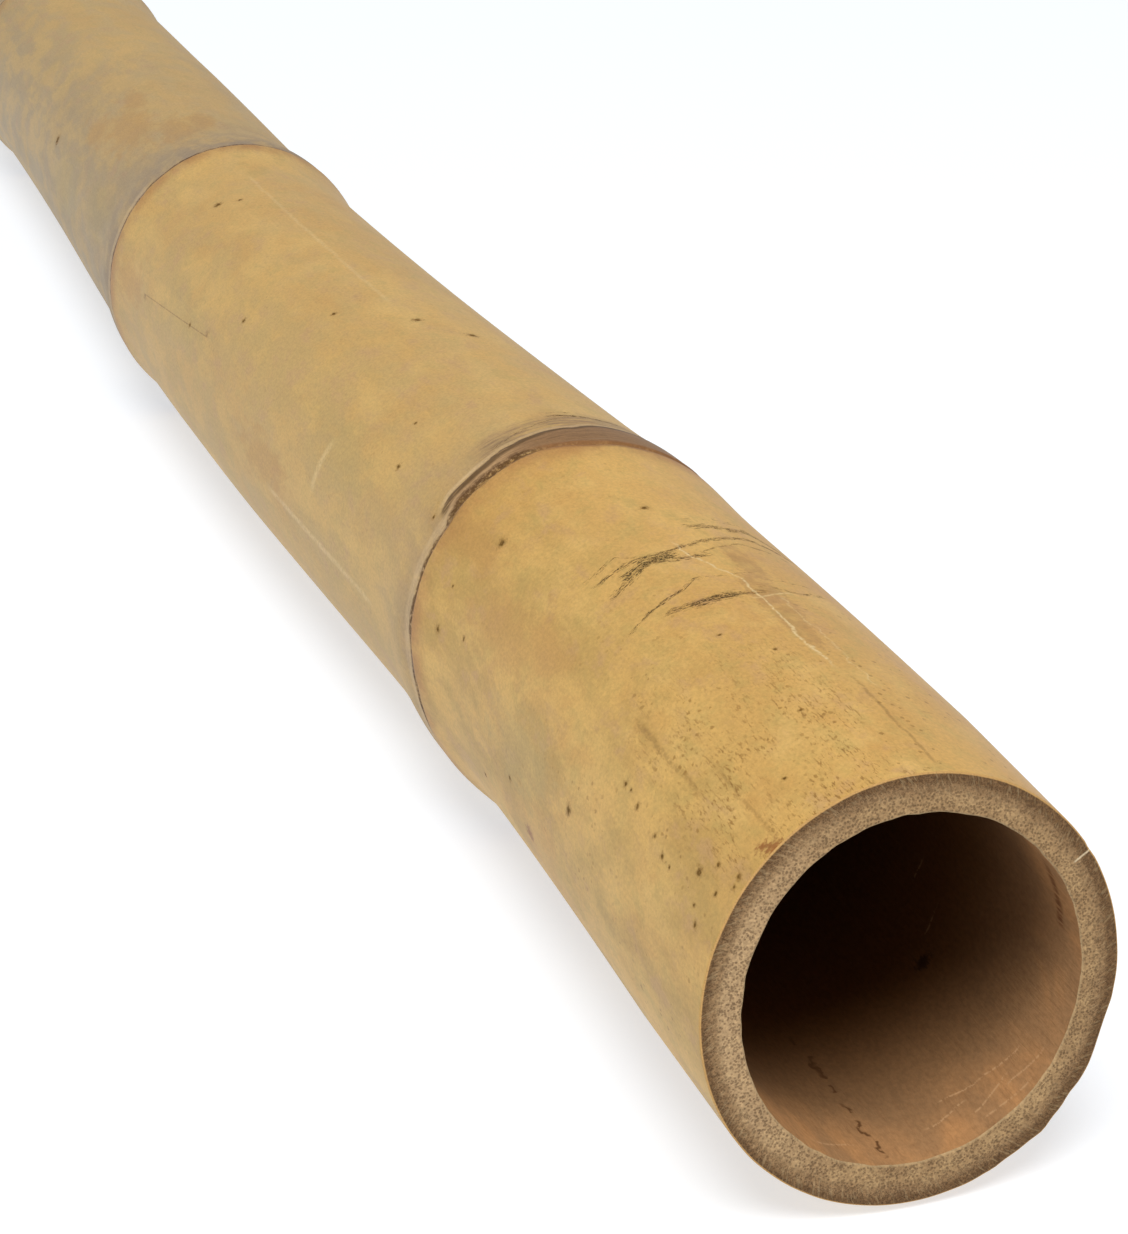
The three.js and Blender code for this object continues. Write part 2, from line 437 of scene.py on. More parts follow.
# %% Which face is which
SKIN, CUT, BORE = 0, 1, 2
row_material = np.where(is_skin[:, 0], SKIN, np.where(is_bore[:, 0], BORE, CUT))
for rows in (is_skin, is_bore):
    row_material[np.flatnonzero(rows[:, 0])[-1]] = CUT
mesh.polygons.foreach_set("material_index", np.repeat(row_material, COLUMNS).astype(np.int32))
SHARP_ANGLE = math.radians(38.0)
mesh.shade_smooth()
mesh.set_sharp_from_angle(angle=SHARP_ANGLE)
print("faces of skin, cut and bore:", np.bincount(row_material) * COLUMNS)

# %% [markdown]
# ## Where a pattern finds its place
# Three things guide the finish. The straight culm's own coordinates, in metres, make grain and mottling
# follow the culm through its bends. A map named Skin unrolls it: the first number is the way round from
# the underside and the second the way along, both in metres, so a mark can be placed with two lengths.
# And a few distances are stored at the points, because a smooth distance stays sharp between them.

# %% Stored at the points


def store(name, values):
    """Writes one number or one vector for each point of the grid."""
    kind, field = ("FLOAT_VECTOR", "vector") if values.ndim == 3 else ("FLOAT", "value")
    whole = np.broadcast_to(values, (row_count, COLUMNS, *values.shape[2:]))
    attribute = mesh.attributes.new(name, kind, "POINT")
    attribute.data.foreach_set(field, whole.astype(np.float32).ravel())


straight = np.broadcast_arrays(radii * np.cos(angles), radii * np.sin(angles), places)
store("straight", np.stack(straight, axis=-1) * MM)
store("past_scar", past_scar * MM)
store("by_scar", 1.0 - smooth(np.abs(past_scar), 40.0, 60.0))
store("past_sheath", past_sheath * MM)
store("sheath", sheath)
store("wall_depth", 1.0 - wall_share)
NODE_BLOOM = np.array([0.7, 1.0, 0.8])
BLOOM_REACH = np.array([22.0, 48.0, 40.0])
bloom = NODE_BLOOM[nearest] * np.exp(-np.maximum(past_scar, 0.0) / BLOOM_REACH[nearest])
store("bloom", bloom * smooth(past_scar, 0.0, 1.0))

# %% The unrolled skin
ROUND = 2.0 * math.pi * SKIN_RADII[1] * MM
arc_rows = corner_columns + 1.0 * (corner_columns < column[..., None]) * COLUMNS
skin_map = np.stack([arc_rows / COLUMNS * ROUND, places[corner_rows, 0] * MM], axis=-1)


def add_map(name, corners):
    """Adds a UV map with one pair of numbers for every corner of every face."""
    layer = mesh.uv_layers.new(name=name)
    layer.uv.foreach_set("vector", corners.astype(np.float32).ravel())


add_map("Skin", skin_map)
print("the skin unrolled, in m:", ROUND, "by", CULM_LENGTH * MM)

# %% [markdown]
# ## A map for baking
# When the culm is exported its finish is baked into one square picture. The parts that are looked at
# need most of it: the skin is laid out in two long strips, the upper cut is unrolled in two narrow ones
# so that its fine grain survives, and bore and septa share what is left.

# %% Strips of the baking map
outline_points = np.stack([places[:, 0], radii[:, 0]], axis=-1)
outline_steps = np.hypot(*np.diff(outline_points, axis=0, append=outline_points[:1]).T)
outline_length = np.concatenate([[0.0], np.cumsum(outline_steps)])
bake_map = np.zeros((row_count, COLUMNS, 4, 2))


def lay_strip(rows, columns, box, along_first):
    """Lays the faces of some rows and columns into a box (left, low, right, high) of the square."""
    row_slice = slice(*rows)
    column_slice = slice(*columns)
    steps = corner_rows[row_slice, column_slice] - row[row_slice, column_slice, None]
    ahead = row[row_slice, column_slice, None] + steps % row_count
    along = outline_length[ahead]
    along = (along - along.min()) / (along.max() - along.min())
    turned = arc_rows[row_slice, column_slice]
    turned = (turned - turned.min()) / (turned.max() - turned.min())
    first, second = (along, turned) if along_first else (turned, along)
    left, low, right, high = box
    spot = np.stack([left + (right - left) * first, low + (high - low) * second], axis=-1)
    bake_map[row_slice, column_slice] = spot


skin_end = len(skin_rows)
base_cut_end = skin_end + len(base_cut[0])
bore_end = base_cut_end + len(bore_places)
skin_middle = int(np.searchsorted(skin_rows, CULM_LENGTH / 2))
base_cup_end = base_cut_end + int(np.flatnonzero(bore_places < NODES[2]["at"] + 12.0)[0])
upper_cup = base_cut_end + int(np.flatnonzero(bore_places < NODES[0]["at"] - 11.0)[0])
HALF = COLUMNS // 2
WHOLE = (0, COLUMNS)
STRIPS = (
    ((0, skin_middle), WHOLE, (0.004, 0.645, 0.996, 0.996), True),
    ((skin_middle, skin_end - 1), WHOLE, (0.004, 0.290, 0.996, 0.641), True),
    ((bore_end - 1, row_count), (0, HALF), (0.004, 0.220, 0.996, 0.286), False),
    ((bore_end - 1, row_count), (HALF, COLUMNS), (0.004, 0.150, 0.996, 0.216), False),
    ((skin_end - 1, base_cut_end), WHOLE, (0.004, 0.118, 0.996, 0.146), False),
    ((upper_cup, bore_end - 1), WHOLE, (0.004, 0.004, 0.440, 0.114), False),
    ((base_cut_end, base_cup_end), WHOLE, (0.448, 0.004, 0.640, 0.114), False),
    ((base_cup_end, upper_cup), WHOLE, (0.648, 0.004, 0.996, 0.114), False),
)
for strip in STRIPS:
    lay_strip(*strip)
add_map("OFBake", bake_map)
print("baking map runs from", bake_map.min((0, 1, 2)), "to", bake_map.max((0, 1, 2)))

# %% [markdown]
# ## Shader maths
# A material is a network of nodes, but most of what it does is arithmetic. This class wraps a socket so
# that the arithmetic can be written as an expression: every operator adds one Math node. Everything
# else, a texture or a mix of colours, comes from its one method for adding a node. Colours are written
# as codes, as on a paint card, because they are easier to compare by eye than shares of light.

# %% Colours as they are named on paper


def paint(code):
    """A colour code of six hex digits as the linear values that the shader wants."""
    channels = np.array([int(code[k : k + 2], 16) for k in (1, 3, 5)]) / 255.0
    linear = np.where(channels <= 0.04045, channels / 12.92, ((channels + 0.055) / 1.055) ** 2.4)
    return (*linear.tolist(), 1.0)


print("straw yellow:", [round(value, 3) for value in paint("#cfa96a")])

# %% A socket to reckon with


class Wire:
    """A socket that can be reckoned with. Operators add Math nodes, and node() adds any other one."""

    def __init__(self, tree, socket=None):
        self.tree = tree
        self.socket = socket

    def node(self, kind, settings=None, sockets=None, output=0):
        """Adds a node: its settings are set first, then its sockets take values or links."""
        made = self.tree.nodes.new(kind)
        for name, value in (settings or {}).items():
            setattr(made, name, value)
        for name, value in (sockets or {}).items():
            if isinstance(value, Wire):
                self.tree.links.new(value.socket, made.inputs[name])
            else:
                made.inputs[name].default_value = value
        return Wire(self.tree, made.outputs[output])

    def other(self, output):
        """Another output of the node that this socket belongs to."""
        return Wire(self.tree, self.socket.node.outputs[output])

    def math(self, operation, first, second=0.0):
        """One Math node on two values."""
        return self.node("ShaderNodeMath", {"operation": operation}, {0: first, 1: second})

    def __add__(self, other):
        return self.math("ADD", self, other)

    def __sub__(self, other):
        return self.math("SUBTRACT", self, other)

    def __mul__(self, other):
        return self.math("MULTIPLY", self, other)

    def __truediv__(self, other):
        return self.math("DIVIDE", self, other)

    def __rsub__(self, other):
        return self.math("SUBTRACT", other, self)

    def __abs__(self):
        return self.math("ABSOLUTE", self)

    __radd__ = __add__
    __rmul__ = __mul__

    def least(self, other):
        """The smaller of two values."""
        return self.math("MINIMUM", self, other)

    def most(self, other):
        """The larger of two values."""
        return self.math("MAXIMUM", self, other)

    def vector(self, operation, second, output=0):
        """One Vector Math node on this vector and a second one."""
        return self.node("ShaderNodeVectorMath", {"operation": operation}, {0: self, 1: second}, output)

    def ramp(self, low, high, start=0.0, end=1.0, kind="SMOOTHSTEP"):
        """Goes from start, where the value is low, to end, where it is high: smoothly, or straight
        where the kind is LINEAR."""
        settings = {"interpolation_type": kind}
        sockets = {"Value": self, "From Min": low, "From Max": high, "To Min": start, "To Max": end}
        return self.node("ShaderNodeMapRange", settings, sockets)

    def near(self, centre, full, none):
        """1 within full of the centre, falling smoothly to 0 at a distance of none."""
        return abs(self - centre).ramp(none, full)

    def stretched(self, across, along, shift=0.0):
        """A vector divided so that one cell is this wide across and this long along the culm, in mm,
        and then shifted, so that two patterns of one size don't fall together."""
        scale = (1 / (across * MM), 1 / (across * MM), 1 / (along * MM))
        return self.vector("MULTIPLY", scale).vector("ADD", (shift, shift, shift))

    def noise(self, detail=2.0, roughness=0.5, distortion=0.0):
        """Cloudy values round 0.5 at this vector."""
        sockets = {"Vector": self, "Scale": 1.0, "Detail": detail}
        sockets.update({"Roughness": roughness, "Distortion": distortion})
        return self.node("ShaderNodeTexNoise", {}, sockets)

    def cells(self, scale=1.0):
        """Distance to the nearest of many scattered cell centres; other(1) is a colour for each cell."""
        return self.node("ShaderNodeTexVoronoi", {}, {"Vector": self, "Scale": scale})

    def mixed(self, first, second, share, blend="MIX"):
        """A mix of two colours: a share of 0 gives the first and 1 the second."""
        settings = {"data_type": "RGBA", "blend_type": blend}
        return self.node("ShaderNodeMix", settings, {0: share, 6: first, 7: second}, 2)

    def painted(self, code, share):
        """This colour with a share of another one, named by its code, laid over it."""
        return self.mixed(self, paint(code), share)

    def toned(self, tone):
        """This colour made lighter or darker: every channel times the tone."""
        grey = self.node("ShaderNodeCombineXYZ", {}, {0: tone, 1: tone, 2: tone})
        return self.mixed(self, grey, 1.0, "MULTIPLY")

    def split(self):
        """The first of a vector's three numbers; other(1) and other(2) of it are the rest."""
        return self.node("ShaderNodeSeparateXYZ", {}, {0: self})

    def bumped(self, strength, distance):
        """The normals of a surface that rises and sinks with this value, by a distance in mm."""
        sockets = {"Strength": strength, "Distance": distance * MM, "Height": self}
        return self.node("ShaderNodeBump", {}, sockets)


# %% A new material and the values it reads


def new_material(name):
    """An empty material with its shader and output, and a wire to start from."""
    material = bpy.data.materials.new(name)
    material.use_nodes = True
    tree = material.node_tree
    tree.nodes.clear()
    shader = tree.nodes.new("ShaderNodeBsdfPrincipled")
    output = tree.nodes.new("ShaderNodeOutputMaterial")
    tree.links.new(shader.outputs["BSDF"], output.inputs["Surface"])
    return material, shader, Wire(tree)


def finish_with(shader, wire, sockets):
    """Links wires to the shader's sockets, and sets those that stay the same all over."""
    for name, value in sockets.items():
        if isinstance(value, Wire):
            wire.tree.links.new(value.socket, shader.inputs[name])
        else:
            shader.inputs[name].default_value = value


def stored(wire, name, output):
    """A value that was stored at the points: output 1 is its vector, 2 its number."""
    settings = {"attribute_name": name, "attribute_type": "GEOMETRY"}
    return wire.node("ShaderNodeAttribute", settings, {}, output)


def places_on(wire):
    """The straight culm's coordinates, and the way round and the way along on the map named Skin: both
    at once, and each alone. All are in metres."""
    straight_place = stored(wire, "straight", 1)
    both = wire.node("ShaderNodeUVMap", {"uv_map": "Skin"})
    parts = both.split()
    return straight_place, (both, parts, parts.other(1))


# %% Marks that are placed by the way along and the direction round


def arc_at(degree):
    """A direction round the culm, in degrees, as a length on the unrolled map."""
    return (degree + 90.0) % 360.0 / 360.0 * ROUND


def between(way_round, low, high, fade=6.0):
    """1 between two directions round the culm, fading out beyond them."""
    rise = way_round.ramp(arc_at(low - fade), arc_at(low))
    return rise * way_round.ramp(arc_at(high + fade), arc_at(high))


def stretch_of(way_along, start, end, fade):
    """1 between two places along the culm, in mm, fading out beyond them."""
    rise = way_along.ramp((start - fade) * MM, start * MM)
    return rise * way_along.ramp((end + fade) * MM, end * MM)


def line_across(place, points, half, grain=0.0, fill=0.5):
    """A line from each (degree, mm along) straight to the next. With a grain, in mm, it is broken
    into streaks that run with the line; more fill leaves fewer gaps."""
    _, way_round, way_along = place
    off = way_along - points[0][1] * MM
    for (low, along_low), (high, along_high) in zip(points, points[1:]):
        climb = (along_high - along_low) * MM
        off = off - way_round.ramp(arc_at(low), arc_at(high), 0.0, climb, "LINEAR")
    ends = between(way_round, points[0][0], points[-1][0], 4.0)
    if not grain:
        return abs(off).ramp(half * MM, 0.1 * half * MM) * ends
    sockets = {0: way_round * (1 / (6 * grain * MM)), 1: off * (1 / (grain * MM)), 2: points[0][1]}
    streaks = way_round.node("ShaderNodeCombineXYZ", {}, sockets).noise(3.0, 0.7)
    body = abs(off).ramp(1.7 * half * MM, 0.2 * half * MM) * ends
    threshold = 0.86 - 0.3 * fill
    return (streaks + 0.2 * body).ramp(threshold, threshold + 0.1) * body.ramp(0.0, 0.2)


def line_along(place, degree, start, end, half, wobble=None):
    """A line along the culm at one direction round it, between two places in mm. A wobble, in
    metres, shifts it to and fro."""
    _, way_round, way_along = place
    off = way_round - arc_at(degree)
    if wobble is not None:
        off = off + wobble
    return abs(off).ramp(half * MM, 0.2 * half * MM) * stretch_of(way_along, start, end, 12)


def spots(place, table, stretch):
    """Distance to the nearest spot of a table of (mm along, degree, radius in mm), as a share of its
    radius. Distances are measured shorter along the culm by the stretch."""
    both = place[0].vector("MULTIPLY", (1.0, stretch, 1.0))
    gaps = (
        both.vector("DISTANCE", (arc_at(degree), along * MM * stretch, 0.0), 1) * (1 / (size * MM))
        for along, degree, size in table
    )
    return reduce(Wire.least, gaps)


# %% [markdown]
# ## The skin
# Cured bamboo is straw yellow with a satin, almost waxy face. Broad clouds of warmer, paler and greyer
# straw run along it, finer mottling lies over them, and fibres show as the faintest strokes. Past each
# scar a greyish bloom is left where the sheath sat, and before it the skin is stained orange. The
# colours are laid over each other as a grainer would, from the ground to the smallest marks.

# %% The ground of the skin
skin_material, skin_shader, here = new_material("bamboo_skin")
culm_place, place = places_on(here)
_, way_round, way_along = place
past_scar_wire = stored(here, "past_scar", 2)
by_scar = stored(here, "by_scar", 2)

broad = culm_place.stretched(42, 110).noise(2.0, 0.5, 0.2)
blotch = culm_place.stretched(15, 30, 3.7).noise(4.0, 0.55, 0.3)
patch = culm_place.stretched(7, 12, 8.1).noise(5.0, 0.65, 0.2)
warm = culm_place.stretched(18, 34, 15.3).noise(4.0, 0.6, 0.3)
colour = here.mixed(paint("#d5ab62"), paint("#ca9f5a"), broad.ramp(0.35, 0.65))
colour = colour.painted("#d9b46e", blotch.ramp(0.46, 0.66) * 0.5)
colour = colour.painted("#b69a58", patch.ramp(0.52, 0.3) * 0.6)
colour = colour.painted("#c08d4b", warm.ramp(0.5, 0.68) * 0.4)
# Painted shade: the right side, below about 72 degrees round, is painted a little darker, where the light
# falls off.
colour = colour.painted("#c2975a", way_round.ramp(arc_at(72), arc_at(52)) * 0.45)
print("nodes so far:", len(skin_material.node_tree.nodes))

# %% Painted shade down the left side, and greyer past the second node and towards the base
left_side = culm_place.split().ramp(0.0, -0.05)
grey_patch = culm_place.stretched(13, 34, 22.9).noise(4.0, 0.6, 0.3).ramp(0.4, 0.62)
older = way_along.ramp(0.245, 0.285, 0.0, 0.35) + way_along.ramp(0.698, 0.705, 0.0, 0.35)
# Painted shade: the left side is painted darker and greyer, where the light falls off, broken up by grey
# patches.
colour = colour.painted("#a6874a", left_side * (0.25 + 0.4 * grey_patch))
colour = colour.painted("#bea26f", older * (0.7 + 0.6 * grey_patch))
past_second = way_along.ramp(0.698, 0.71) * left_side
colour = colour.painted("#94836a", past_second * (0.25 + 0.35 * grey_patch))
colour = colour.painted("#b88f6c", grey_patch * patch.ramp(0.5, 0.65) * 0.35)

# %% A few broad patches that this culm has: mm along, degree, radius in mm
BROWN_PATCHES = (
    (176.0, 150.0, 9.0), (150.0, 143.0, 7.0), (225.0, 139.0, 7.0), (421.0, 176.0, 9.0),
    (660.0, 168.0, 8.0), (800.0, 122.0, 12.0), (842.6, 111.6, 6.0), (835.7, 136.0, 7.0),
    (760.0, 104.0, 8.0), (765.0, 92.0, 7.0),
)
GREY_PATCHES = (
    (140.0, 172.0, 9.0), (560.0, 158.0, 10.0), (345.0, 150.0, 9.0), (850.0, 170.0, 14.0),
    (760.0, 160.0, 12.0),
)
loose = culm_place.stretched(5, 12).noise(3.0, 0.65).ramp(0.2, 0.8, 0.45, 1.6)
brown_share = (spots(place, BROWN_PATCHES, 0.3) * loose).ramp(1.3, 0.4)
grey_share = (spots(place, GREY_PATCHES, 0.3) * loose).ramp(1.3, 0.4)
colour = colour.painted("#b58a4e", brown_share * 0.55)
colour = colour.painted("#ab945e", grey_share * 0.45)

# %% Bloom past the scars, stain before them
bloom_patch = culm_place.stretched(9, 18, 5.5).noise(4.0, 0.6, 0.3)
bloom_share = stored(here, "bloom", 2) * bloom_patch.ramp(0.3, 0.62, 0.4, 1.1)
colour = colour.painted("#978570", bloom_share * 0.95)
stain = past_scar_wire.ramp(-0.016, -0.001) * past_scar_wire.ramp(0.0008, -0.0005) * by_scar
stain_share = stain * bloom_patch.ramp(0.3, 0.65, 0.3, 1.0)
colour = colour.painted("#a06c3c", stain_share * 0.7)

# %% [markdown]
# ## The scar of the sheath
# Every node carries the scar of the leaf sheath that once wrapped the stem: a thin dark crease, not
# quite even, drawn dark partly for its own brown stain and partly as painted shade in the crease. Just
# past it the skin is lighter on one side, and at the first node a strip of the sheath itself is left,
# dark and drawn in lines that run round the culm, with a painted shadow on the skin past its far edge.

# %% The scar line
uneven = culm_place.stretched(4, 4).noise(2.0)
ragged_edge = culm_place.stretched(1.3, 1.3).noise(3.0, 0.7)
round_streaks = culm_place.stretched(8, 0.9).noise(4.0, 0.65)
by_first_node = stretch_of(way_along, 200, 300, 20)
thick = 1.0 + between(way_round, 108, 136, 4) * by_first_node
# The scar line is partly its own brown stain and partly painted shade in the crease and under its step.
line_half = uneven.ramp(0.3, 0.7, 0.0006, 0.0014) * thick
scar_line = (abs(past_scar_wire - 0.0003 * thick) / line_half).ramp(1.7, 0.5)
scar_line = scar_line * ragged_edge.ramp(0.33, 0.55, 0.2, 1.0) * by_scar
soft_part = between(way_round, 30, 100, 8) * by_first_node
# A lighter strip just past the scar, on the left side.
light_strip = past_scar_wire.near(0.0035, 0.001, 0.0035) * between(way_round, 136, 205, 8) * by_scar
colour = colour.painted("#cdb088", light_strip * round_streaks.ramp(0.3, 0.6, 0.1, 0.45))

# %% The strip of sheath at the first node, with a painted shadow past it
sheath_wire = stored(here, "sheath", 2)
past_sheath_wire = stored(here, "past_sheath", 2)
sheath_colour = here.mixed(paint("#b08c62"), paint("#8b6845"), way_round.ramp(arc_at(118), arc_at(102)))
sheath_colour = sheath_colour.painted("#6d4d30", round_streaks.ramp(0.46, 0.68) * 0.7)
colour = here.mixed(colour, sheath_colour, sheath_wire * 0.95)
soft_scar = past_scar_wire.near(0.0, 0.001, 0.0035) * soft_part
colour = colour.painted("#8d6038", soft_scar * ragged_edge.ramp(0.25, 0.55, 0.5, 1.0) * 0.85)
far_half = way_round.ramp(arc_at(92), arc_at(112), 0.0013, 0.0024)
far_line = (abs(past_sheath_wire + 0.0015) / far_half).ramp(1.5, 0.7) * sheath_wire.ramp(0.02, 0.3)
far_line = far_line * round_streaks.ramp(0.3, 0.46, 0.15, 1.0)
colour = colour.painted("#573e1d", far_line * 0.85)
edge_part = between(way_round, 44, 134, 6) * by_first_node
far_ridge = past_sheath_wire.near(0.0018, 0.0005, 0.0018) * edge_part
colour = colour.painted("#cfb084", far_ridge * round_streaks.ramp(0.3, 0.6, 0.3, 0.8))
# Painted shadow: a darker band on the skin past the far edge of the sheath strip.
sheath_shadow = past_sheath_wire.near(0.008, 0.002, 0.013) * between(way_round, 50, 112, 14) * by_first_node
colour = colour.painted("#7c6049", sheath_shadow * round_streaks.ramp(0.4, 0.64, 0.3, 1.0) * 0.8)
# The scar line goes on last: its own brown stain, and painted shade in the crease.
colour = colour.painted("#523517", scar_line * (1.0 - 0.75 * soft_part) * 0.9)

# %% [markdown]
# ## Marks that only this culm has
# Some marks are chance: pin spots, scuffs where the pole rubbed on another, a light scratch. The ones
# that catch the eye are placed one by one, by the way along in millimetres and the direction round in
# degrees, where 90 is the top and 180 the left side.

# %% Pin spots: mm along, degree, radius in mm
PINS = (
    (187.2, 92.6, 1.0), (210.9, 132.4, 1.25), (222.4, 152.2, 0.5), (223.9, 166.1, 1.05),
    (203.7, 161.7, 0.6), (150.2, 183.4, 0.9), (183.2, 196.6, 0.7), (302.3, 138.5, 0.9),
    (255.1, 141.1, 0.7), (316.6, 124.0, 0.6), (620.9, 114.7, 1.7), (613.9, 106.1, 1.0),
    (493.5, 140.0, 1.0), (438.7, 114.3, 1.0), (405.0, 93.0, 1.3), (548.3, 158.2, 1.0),
    (901.4, 156.4, 2.2), (67.8, 149.7, 0.5), (39.3, 154.5, 0.8), (20.3, 149.2, 1.1),
    (16.0, 156.0, 0.6), (12.2, 159.4, 0.8), (99.0, 170.0, 1.3), (44.0, 103.0, 0.5),
    (96.0, 105.0, 0.5), (20.0, 118.0, 0.6), (79.0, 96.0, 0.5), (383.0, 80.0, 1.6),
    (14.6, 144.1, 0.7), (4.7, 141.9, 0.8), (3.9, 144.6, 0.6), (9.3, 149.4, 0.7),
    (46.6, 152.5, 0.6), (60.7, 151.2, 0.8), (33.8, 154.9, 0.5), (71.7, 149.8, 0.8),
)
STAINS = ((1.2, 131.0, 3.0), (4.6, 132.8, 2.0), (137.2, 194.7, 2.8))
wobble = culm_place.stretched(0.9, 1.4).noise(3.0, 0.6).ramp(0.2, 0.8, 0.5, 1.6)
pin_gap = spots(place, PINS, 0.85) * wobble
pin_core = pin_gap.ramp(1.0, 0.4) * ragged_edge.ramp(0.3, 0.5, 0.55, 1.0)
pin_halo = pin_gap.ramp(1.9, 0.8)
stain_gap = spots(place, STAINS, 0.7) * wobble
rough_stain = (stain_gap + 2.0 * ragged_edge).ramp(2.1, 1.2)
colour = colour.painted("#854b20", rough_stain * 0.8)
colour = colour.painted("#8c672c", pin_halo * 0.6)
colour = colour.painted("#5a3e12", pin_core * 0.88)
print("pin spots:", len(PINS), "stains:", len(STAINS))

# %% Fine speckles and short dashes
SPECKLE_CELL = (1.8, 2.6)

speckle = culm_place.stretched(*SPECKLE_CELL).cells()
pick = speckle.other(1).split()
near_cut = way_along.ramp(0.16, 0.06, 0.3, 1.0)
speckle_where = culm_place.stretched(12, 20, 9.2).noise(3.0, 0.6).ramp(0.44, 0.62) * near_cut
speckle_size = pick.other(1).ramp(0.0, 1.0, 0.1, 0.3)
speckle_share = (speckle * wobble - speckle_size).ramp(0.06, -0.06) * pick.ramp(0.3, 0.5)
colour = colour.painted("#8a6428", speckle_share * speckle_where * 0.65)
dashes = culm_place.stretched(0.6, 2.8).noise(3.0, 0.6).ramp(0.53, 0.66)
dash_where = way_along.ramp(0.12, 0.03) * between(way_round, 95, 140, 12)
dash_where = dash_where * culm_place.stretched(9, 18, 2.6).noise(3.0).ramp(0.38, 0.55)
colour = colour.painted("#8f6830", dashes * dash_where * 0.85)

# %% Scuffs: points of (degree, mm along), half width and grain in mm, fill
SCUFFS = (
    (((55.5, 162.8), (69.4, 165.5), (81.1, 160.5), (97.5, 154.0), (107.1, 155.4), (119.6, 153.7)),
     1.3, 0.4, 0.75),
    (((60.0, 157.5), (75.0, 158.5), (89.0, 150.5)), 1.0, 0.4, 0.55),
    (((107.5, 157.2), (111.4, 162.2), (121.0, 158.6)), 1.5, 0.45, 0.45),
    (((89.1, 147.8), (98.0, 147.6), (103.0, 150.1), (107.1, 150.1), (112.3, 145.8), (118.4, 142.8)),
     2.0, 0.45, 0.7),
    (((99.0, 151.5), (106.0, 151.8), (112.0, 148.5)), 2.6, 0.45, 0.9),
    (((98.8, 132.4), (103.4, 128.2), (115.1, 123.9), (122.5, 120.3)), 1.1, 0.35, 0.7),
    (((80.0, 133.5), (89.3, 132.0), (98.8, 132.4)), 0.9, 0.35, 0.4),
    (((84.0, 118.5), (89.1, 117.7), (96.6, 118.1), (104.4, 117.7), (111.0, 118.6)), 1.7, 0.4, 0.7),
    (((93.0, 117.8), (103.5, 117.6)), 2.4, 0.45, 0.85),
    (((63.0, 125.0), (65.4, 123.7), (72.6, 119.6), (82.0, 122.7)), 1.3, 0.4, 0.6),
    (((66.0, 130.0), (80.0, 128.0)), 0.9, 0.35, 0.5),
    (((57.0, 168.0), (65.3, 174.3), (73.5, 170.9), (79.8, 171.0), (84.5, 170.3)), 2.0, 0.45, 0.75),
    (((66.0, 179.0), (84.5, 175.8)), 2.4, 0.45, 0.4),
    (((67.7, 275.0), (76.1, 274.4), (88.3, 275.9)), 1.3, 0.5, 0.8),
    (((72.0, 279.0), (90.0, 280.5)), 1.1, 0.5, 0.5),
    (((84.2, 273.0), (89.8, 271.3), (109.5, 262.8), (113.0, 261.4)), 1.1, 0.45, 0.5),
)
scuffs = reduce(Wire.most, (line_across(place, *scuff) for scuff in SCUFFS))
flecks = culm_place.stretched(0.7, 0.6).noise(3.0, 0.75).ramp(0.36, 0.54, 0.15, 1.0)
scuffs = scuffs * flecks
colour = colour.painted("#26180a", scuffs * 0.9)
print("scuffs:", len(SCUFFS))

# %% The rubbed patch
wander = (culm_place.stretched(8, 9).noise(3.0, 0.6) - 0.5) * (5.0 * MM)
RUBS = ((112.0, 83.5, 5.0), (142.0, 80.0, 3.6), (92.0, 84.5, 3.4))
rubbed = (spots(place, RUBS, 0.2) * wobble.ramp(0.5, 1.6, 0.85, 1.2)).ramp(1.15, 0.7)
colour = colour.painted("#a97f4c", rubbed * uneven.ramp(0.3, 0.6, 0.25, 0.6))

# %% Light scratches and cracks: degree, from and to along, half width, share of the wander, strength
SCRATCHES = (
    (79.5, 56, 110, 0.45, 1.4, 0.5),
    (94.5, 440, 640, 1.1, 0.5, 0.35),
    (183.0, 300, 405, 1.5, 0.3, 0.5),
)
CRACKS = (
    (136.5, 46, 78, 1.1, 0.5, 0.55),
    (83.5, 10, 52, 0.7, 0.5, 0.6),
    (129.0, 12, 36, 0.8, 0.6, 0.5),
)


def with_lines(marks, table):
    """The marks and, where they are stronger, the lines along the culm that a table gives."""
    for degree, start, end, half, share, strength in table:
        marks = marks.most(line_along(place, degree, start, end, half, wander * share) * strength)
    return marks


upper_part = wander + way_along.ramp(0.126, 0.152, 0.0, -0.0072)
scratches = with_lines(line_along(place, 86.4, 72, 152, 0.55, upper_part), SCRATCHES)
scratches = scratches.most(line_across(place, ((77.0, 118.5), (86.4, 114.0)), 0.7) * 0.8)
scratches = scratches.most(line_across(place, ((150, 358), (157, 360), (165, 361)), 3.0) * 0.5)
colour = colour.painted("#dfc48f", scratches * ragged_edge.ramp(0.35, 0.55, 0.15, 0.85))
cracks = with_lines(line_across(place, ((156.0, 523.0), (161.0, 576.0), (166.0, 629.0)), 4.0), CRACKS)
colour = colour.painted("#80602f", cracks * ragged_edge.ramp(0.35, 0.55, 0.1, 0.75))

